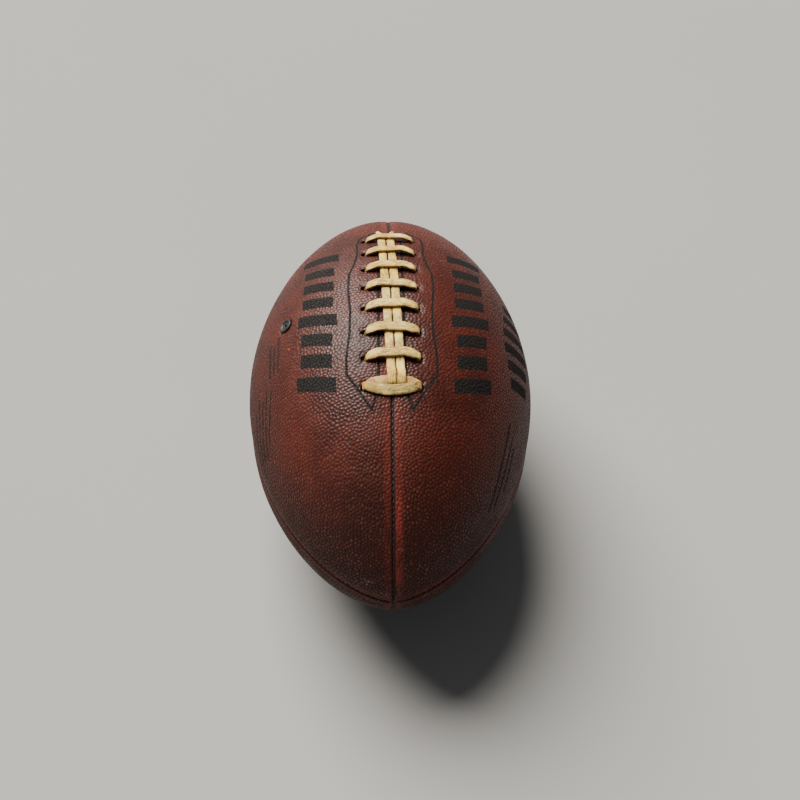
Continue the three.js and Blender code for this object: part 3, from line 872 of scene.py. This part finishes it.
def bar_waypoints(along, end_depth, lean):
    """One bar: up out of the left hole, over the straps and down into the right hole."""
    return [
        waypoint(-HOLE_ACROSS, along, INNER_RUN, LENGTHWAYS, 1.6),
        waypoint(-HOLE_ACROSS, along, HOLE_BEND, LENGTHWAYS, 1.0),
        waypoint(BAR_LEFT_END, along, BAR_CORNER_HEIGHT, LENGTHWAYS, 2.0),
        waypoint(-BAR_SHOULDER, along + 1.1 - 0.4 * lean, BAR_HEIGHT, LENGTHWAYS, 9),
        waypoint(BAR_SHOULDER, along + 1.1 + lean, BAR_HEIGHT, LENGTHWAYS, 9),
        waypoint(bar_right_end(along), along, BAR_CORNER_HEIGHT, LENGTHWAYS, 1.7),
        waypoint(HOLE_ACROSS, along, HOLE_BEND, LENGTHWAYS, 1.0),
        waypoint(HOLE_ACROSS, along, end_depth, LENGTHWAYS, 1.6),
    ]


def near_pass_waypoints(turned, start_depth, end_depth):
    """One of the two passes that share the near holes and bow apart round the straps."""
    places = [
        # across, along from the near bar, height
        (-15.2, 0, 1.7),
        (-11.5, -1.4, 1.8),
        (-8, -2.4, 1.8),
        (-4, -3.0, 1.8),
        (0, -3.2, 1.8),
        (4, -3.0, 1.8),
        (8, -2.4, 1.8),
        (11, -1.4, 1.6),
        (13.7, 0, 1.2),
    ]
    path = places
    lean = LEANING
    if turned:
        path = [(-x, -0.9 * y, 0.55 * z) for x, y, z in reversed(places)]
        lean = LENGTHWAYS
    rise = waypoint(path[0][0], NEAR_BAR, start_depth, LENGTHWAYS, 1.5)
    fall = waypoint(path[-1][0], NEAR_BAR, end_depth, LENGTHWAYS, 1.5)
    over = [waypoint(x, NEAR_BAR + y, z, lean, 6) for x, y, z in path]
    return [rise, *over, fall]


def strap_waypoints(side, depth_inside, width_inside):
    """A strap from its cut end, under the bars, over the rear pass and into the seam."""
    tip = FAR_BAR + LACE_WIDTH / 2 + STRAP_TIP
    foot = strap_across(side, NEAR_BAR)
    points = [
        waypoint(strap_across(side, tip) + 2.0 * side, tip, STRAP_HEIGHT + 1.3, SIDEWAYS, 0),
        waypoint(strap_across(side, tip - 4), tip - 4, STRAP_HEIGHT + 0.4, SIDEWAYS, 6),
    ]
    for place in reversed(BAR_PLACES[1:]):
        points.append(waypoint(strap_across(side, place), place, STRAP_HEIGHT, SIDEWAYS, 9))
        between = place - BAR_PITCH / 2
        if place != BAR_PLACES[1]:
            spot = strap_across(side, between) + 0.12 * side
            points.append(waypoint(spot, between, STRAP_HEIGHT + 0.35, SIDEWAYS, 9))
    points += [
        waypoint(strap_across(side, NEAR_BAR + 10), NEAR_BAR + 10, STRAP_HEIGHT + 0.2, SIDEWAYS, 3),
        waypoint(foot, NEAR_BAR + 6, STRAP_OVER_PASS, SIDEWAYS, 3),
        waypoint(foot, NEAR_BAR, STRAP_OVER_PASS, SIDEWAYS, 1.4),
        waypoint(foot, NEAR_BAR, depth_inside, width_inside, 1.4),
    ]
    return points


def lace_waypoints():
    """The whole lace in one piece: left strap, both passes, the bars, right strap."""
    left_strap = strap_waypoints(-1, INNER_RUN, LENGTHWAYS)
    rear_pass = near_pass_waypoints(True, INNER_RUN, DEEP_RUN)
    run_between = [
        waypoint(9, NEAR_BAR - 4.2, DEEP_RUN, LENGTHWAYS, 4),
        waypoint(-9, NEAR_BAR - 4.2, DEEP_RUN, LENGTHWAYS, 4),
    ]
    front_pass = near_pass_waypoints(False, DEEP_RUN, INNER_RUN)
    bars = []
    for place, lean in zip(BAR_PLACES[1:], BAR_LEANS):
        bars += bar_waypoints(place, DEEP_RUN if place == FAR_BAR else INNER_RUN, lean)
    diagonal = (LENGTHWAYS - SIDEWAYS) / math.sqrt(2)
    turn_back = waypoint(strap_across(1, FAR_BAR), FAR_BAR, DEEP_RUN, diagonal, 6)
    inwards = strap_waypoints(1, DEEP_RUN, SIDEWAYS)
    right_strap = [(place, -SIDEWAYS, bend) for place, _, bend in reversed(inwards)]
    return [*left_strap, *rear_pass, *run_between, *front_pass, *bars, turn_back, *right_strap]


def rounded_corner(before, corner, after, bend):
    """Points on a curve of about this bend radius that cuts the corner."""
    back = before - corner
    ahead = after - corner
    back_length = np.linalg.norm(back)
    ahead_length = np.linalg.norm(ahead)
    cosine = np.clip(back @ ahead / (back_length * ahead_length), -1, 1)
    turn = math.pi - math.acos(cosine)
    reach = min(bend * math.tan(turn / 2), 0.48 * back_length, 0.48 * ahead_length)
    start = corner + back / back_length * reach
    end = corner + ahead / ahead_length * reach
    return [
        (1 - t) ** 2 * start + 2 * t * (1 - t) * corner + t * t * end
        for t in np.linspace(0, 1, 9)
    ]


def smooth_route(waypoints):
    """Rounds every corner, then spaces the route evenly.

    Returns the places, the width directions and the length run so far, all measured across,
    along and above the seam. Wrapped over the ball, the route comes out a little shorter.
    """
    places = []
    widths = []
    for i, (corner, width, bend) in enumerate(waypoints):
        points = [corner]
        if 0 < i < len(waypoints) - 1:
            points = rounded_corner(waypoints[i - 1][0], corner, waypoints[i + 1][0], bend)
        places += points
        widths += [width] * len(points)
    places = np.array(places)
    widths = np.array(widths)
    steps = np.linalg.norm(np.diff(places, axis=0), axis=1)
    arc = np.concatenate([[0], np.cumsum(steps)])
    keep = np.concatenate([[True], steps > 1e-6])
    even = np.linspace(0, arc[-1], int(arc[-1] / LACE_STEP))
    place = np.stack([np.interp(even, arc[keep], places[keep, k]) for k in range(3)], axis=1)
    width = np.stack([np.interp(even, arc[keep], widths[keep, k]) for k in range(3)], axis=1)
    return place, width, even


def band_section(count):
    """Rounded flat section: offsets across and up, as shares of its half width and height."""
    turns = np.linspace(0, 2 * math.pi, count, endpoint=False)
    x = np.sign(np.cos(turns)) * np.abs(np.cos(turns)) ** 0.35
    y = np.sign(np.sin(turns)) * np.abs(np.sin(turns)) ** 0.6
    return x, y


def band_axes(place, width):
    """Middle line of the lace in space, with unit vectors along its width and its height."""
    across, along, height = place.T
    centre = over_seam(across, along, height)
    tangent = np.gradient(centre, axis=0)
    tangent /= np.linalg.norm(tangent, axis=1)[:, None]
    beside = (0.5 * width).T
    aside = over_seam(across + beside[0], along + beside[1], height + beside[2]) - centre
    aside -= (aside * tangent).sum(1)[:, None] * tangent
    aside /= np.linalg.norm(aside, axis=1)[:, None]
    return centre, aside, np.cross(tangent, aside)


def band_size(place, width, arc):
    """Half width and half thickness of the lace: pinched in its holes and at its cut ends."""
    across, along, height = place.T
    outside = smooth_step(height, -1.5, 0.5)
    across_seam = np.abs(width[:, 1]) > 0.9
    on_bar = outside * smooth_step(np.abs(across), 14.0, 11.0) * across_seam
    at_hole = np.exp(-(((np.abs(across) - HOLE_ACROSS) / 1.7) ** 2))
    at_tip = smooth_step(np.minimum(arc, arc[-1] - arc), 4.5, 0)
    doubled = smooth_step(np.abs(along - NEAR_BAR), 6, 4.5)
    taper = np.where(across < 0, 0.32, 0.14) * (1 - 0.6 * doubled)
    pinch = (1 + 0.2 * on_bar) * (1 - taper * at_hole) * (1 - 0.55 * at_tip)
    swell = 1 + 0.2 * at_hole
    wander = 0.05 * soft_noise(arc, 0 * arc, 5, 71) + 0.03 * soft_noise(arc, 0 * arc, 1.7, 72)
    half_width = LACE_WIDTH / 2 * pinch * (1 + wander)
    half_thick = LACE_THICKNESS / 2 * swell * (1 + 0.08 * soft_noise(arc, 0 * arc, 3, 73))
    return half_width, half_thick


def on_rear_pass(place, width):
    """The part of the pass behind the near bar that lies in the front pass's shade."""
    across, along, height = place.T
    near = (np.abs(along - NEAR_BAR - 3) < 3.4) & (np.abs(across) < 15)
    return near & (np.abs(width[:, 1]) > 0.9) & (height < 1.6)


def lace_piece():
    """The lace as one bowed and rippled band, with the length of its unwrapped route."""
    place, width, arc = smooth_route(lace_waypoints())
    centre, aside, up = band_axes(place, width)
    half_width, half_thick = band_size(place, width, arc)
    outward = centre / np.linalg.norm(centre, axis=1)[:, None]

    x, y = band_section(28)
    side = half_width[:, None] * x[None, :]
    rise = half_thick[:, None] * y[None, :]
    bow = 0.16 * (1 - x[None, :] ** 2) * np.sign((up * outward).sum(1))[:, None]
    ripple = 0.075 * soft_noise(arc[:, None] + 0 * x, 3 * x[None, :] + 0 * rise, 1.3, 74)
    lift = rise + bow + ripple * np.sign(y)[None, :]
    points = (
        centre[:, None, :]
        + side[:, :, None] * aside[:, None, :]
        + lift[:, :, None] * up[:, None, :]
    )

    rows = len(arc)
    columns = len(x)
    # painted shade and dirt: darker from just above the leather down into the holes
    hole_shade_and_dirt = smooth_step(-place[:, 2], -0.9, 0.8)
    values = {
        "crown": np.repeat((1 - np.abs(x) ** 2.2)[None, :], rows, axis=0),
        "hole_shade_and_dirt": np.repeat(hole_shade_and_dirt[:, None], columns, axis=1),
        "run": np.repeat(arc[:, None], columns, axis=1),
        "lane": np.repeat((x + 2.5 * (y < 0))[None, :], rows, axis=0),
        "under": np.repeat(on_rear_pass(place, width)[:, None], columns, axis=1),
    }
    obj = mesh_object("lace_band", points.reshape(-1, 3), loop_quads(rows, columns), values)
    close_ends(obj, rows, columns)
    return obj, arc[-1]


# ---------------------------------------------------------------- seam stitching


def stitching(name, angle, low, high):
    """Twisted thread that dips into the seam between stitches."""
    arcs = np.arange(np.interp(low, SHARES, ARCS), np.interp(high, SHARES, ARCS), 0.36)
    share = np.interp(arcs, ARCS, SHARES)
    phase = 2 * math.pi * arcs / STITCH_PITCH
    depth = THREAD_DEPTH - 0.2 * np.cos(phase)
    sway = 0.16 * np.sin(phase / 2)
    radius = THREAD_RADIUS + 0.05 * np.cos(phase)
    turns = np.linspace(0, 2 * math.pi, 10, endpoint=False)
    local = radius_at(share)
    offset = sway[:, None] + radius[:, None] * np.cos(turns)[None, :]
    angles = angle + offset / np.maximum(local[:, None], 3)
    depths = depth[:, None] - radius[:, None] * np.sin(turns)[None, :]
    points = wall_point(share[:, None], angles, depths)
    twist = 0.5 + 0.5 * np.sin(3 * turns[None, :] + 2 * math.pi * arcs[:, None] / 1.1)
    obj = mesh_object(
        name, points.reshape(-1, 3), loop_quads(len(arcs), len(turns)), {"twist": twist}
    )
    close_ends(obj, len(arcs), len(turns))
    return obj


# ---------------------------------------------------------------- pieces

PANELS = [
    # name, angle where it starts, seed of its grain
    ("upper_right", 0.0, 3),
    ("lower_right", QUARTER, 17),
    ("lower_left", 2 * QUARTER, 29),
    ("upper_left", 3 * QUARTER, 43),
]
SEAM_RUNS = [
    # name, angle of the seam, share of the half length where the run starts and ends
    ("top_near", 0.0, -THREAD_END, (NEAR_BAR - 4) / HALF_LENGTH),
    ("top_far", 0.0, (FAR_BAR + 4) / HALF_LENGTH, THREAD_END),
    ("right", QUARTER, -THREAD_END, THREAD_END),
    ("bottom", 2 * QUARTER, -THREAD_END, THREAD_END),
    ("left", 3 * QUARTER, -THREAD_END, THREAD_END),
]


def add_panels():
    """The four leather panels, with the lace holes and the valve hole cut out."""
    leather = leather_material()
    plugs = lace_hole_cutters()
    valve_hole = VALVE_RADIUS + 0.12
    valve_plug = turned_on_valve(
        "plug", [(0.001, 5), (valve_hole, 5), (valve_hole, -8), (0.001, -8)]
    )
    for name, start, seed in PANELS:
        loops, values = panel_points(start, seed)
        rings, count = loops.shape[:2]
        quads = loop_quads(rings, count)
        panel = mesh_object(f"leather_{name}", loops.reshape(-1, 3), quads, values)
        close_ends(panel, rings, count)
        if name == "upper_right":
            cut_with(panel, plugs)
        if name == "upper_left":
            cut_with(panel, [*plugs, valve_plug])
        finish_piece(panel, leather, "panel_leather", f"panel_{name}")
    for plug in [*plugs, valve_plug]:
        bpy.data.objects.remove(plug)


def add_lace():
    """The lace. Returns the length of its unwrapped route, a little more than its own."""
    lace, route_length = lace_piece()
    finish_piece(lace, lace_material(), "lace_band", "lace")
    return route_length


def add_stitching():
    thread = thread_material()
    for name, angle, low, high in SEAM_RUNS:
        run = stitching(f"stitches_{name}", angle, low, high)
        finish_piece(run, thread, "seam_thread", f"thread_{name}")


def add_valve():
    valve = turned_on_valve("valve_moulding", VALVE_PROFILE)
    rubber = rubber_material("valve_rubber", (0.004, 0.004, 0.004), (0.018, 0.016, 0.014))
    finish_piece(valve, rubber, "valve_rubber", "valve_body")


def finish_inner_nodes():
    """Gives the CAD pieces inside the ball their cloth, leather and rubber."""
    finishes = {
        "lining": weave_material("cotton_lining", (0.55, 0.47, 0.34), (0.27, 0.22, 0.15), 0.0011),
        "eyelet": weave_material("eyelet_tape", (0.32, 0.27, 0.20), (0.13, 0.11, 0.08), 0.0009),
        "tongue": smooth_leather_material(),
        "bladder": rubber_material("bladder_rubber", (0.03, 0.03, 0.031), (0.075, 0.072, 0.07)),
        "valve": rubber_material("patch_rubber", (0.02, 0.02, 0.02), (0.06, 0.055, 0.05)),
    }
    for name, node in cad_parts.items():
        first_word = name.split("_")[0]
        if first_word in finishes and not node.hide_render:
            node.data.materials.clear()
            node.data.materials.append(finishes[first_word])


add_panels()
lace_route_length = add_lace()
add_stitching()
add_valve()
finish_inner_nodes()

# ---------------------------------------------------------------- floor, light and camera

FLOOR_REACH = 40.0  # metres
FLOOR_GAP = 0.0001  # metres
HORIZON_BAND = (0.08, 0.34)  # heights on the unit sphere where the pale wall fades out


def add_floor():
    """A plain floor just under the lowest point of the ball."""
    low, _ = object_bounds()
    z = low.z - FLOOR_GAP
    corners = [
        (x * FLOOR_REACH, y * FLOOR_REACH, z) for x, y in ((-1, -1), (1, -1), (1, 1), (-1, 1))
    ]
    mesh = bpy.data.meshes.new("floor")
    mesh.from_pydata(corners, [], [(0, 1, 2, 3)])
    mesh.materials.append(floor_material())
    floor = bpy.data.objects.new("floor", mesh)
    bpy.context.scene.collection.objects.link(floor)


def add_sun(direction, spread, strength, color):
    """One broad, soft light from this direction."""
    light = bpy.data.lights.new("key", "SUN")
    light.angle = spread
    light.energy = strength
    light.color = color
    obj = bpy.data.objects.new("key", light)
    obj.rotation_euler = Vector(direction).to_track_quat("Z", "Y").to_euler()
    bpy.context.scene.collection.objects.link(obj)


def add_world(horizon, overhead, color):
    """Pale low wall of light round the horizon under a darker ceiling."""
    world = bpy.data.worlds.new("studio")
    world.use_nodes = True
    tree = world.node_tree
    place = tree.nodes.new("ShaderNodeTexCoord")
    split = tree.nodes.new("ShaderNodeSeparateXYZ")
    fade = tree.nodes.new("ShaderNodeMapRange")
    fade.interpolation_type = "SMOOTHSTEP"
    fade.inputs["From Min"].default_value = HORIZON_BAND[0]
    fade.inputs["From Max"].default_value = HORIZON_BAND[1]
    fade.inputs["To Min"].default_value = horizon
    fade.inputs["To Max"].default_value = overhead
    background = tree.nodes["Background"]
    background.inputs["Color"].default_value = (*color, 1.0)
    tree.links.new(place.outputs["Generated"], split.inputs[0])
    tree.links.new(split.outputs["Z"], fade.inputs["Value"])
    tree.links.new(fade.outputs["Result"], background.inputs["Strength"])
    bpy.context.scene.world = world


def add_camera(place, aim, roll, focal_length):
    """A camera that looks from place to aim; the roll turns it about the ball's long axis."""
    camera = bpy.data.cameras.new("camera")
    camera.lens = focal_length
    camera.sensor_width = 36.0
    camera.clip_start = 0.01
    camera.clip_end = 50.0
    obj = bpy.data.objects.new("camera", camera)
    upright = (Vector(aim) - Vector(place)).to_track_quat("-Z", "Y").to_matrix().to_4x4()
    obj.matrix_world = Matrix.Rotation(roll, 4, "Y") @ Matrix.Translation(place) @ upright
    bpy.context.scene.collection.objects.link(obj)
    bpy.context.scene.camera = obj


add_floor()
add_sun(
    direction=(-0.36, 0.50, 0.80),
    spread=math.radians(44),
    strength=8.4,
    color=(1.0, 0.955, 0.88),
)
add_world(horizon=0.36, overhead=0.12, color=(0.95, 0.97, 1.0))
add_camera(
    place=(-0.0025, -0.4759, 0.5629),
    aim=(0.0061, 0.0, 0.0),
    roll=math.radians(-0.75),
    focal_length=54.0,
)

print(f"unwrapped lace route {lace_route_length:.0f} mm")
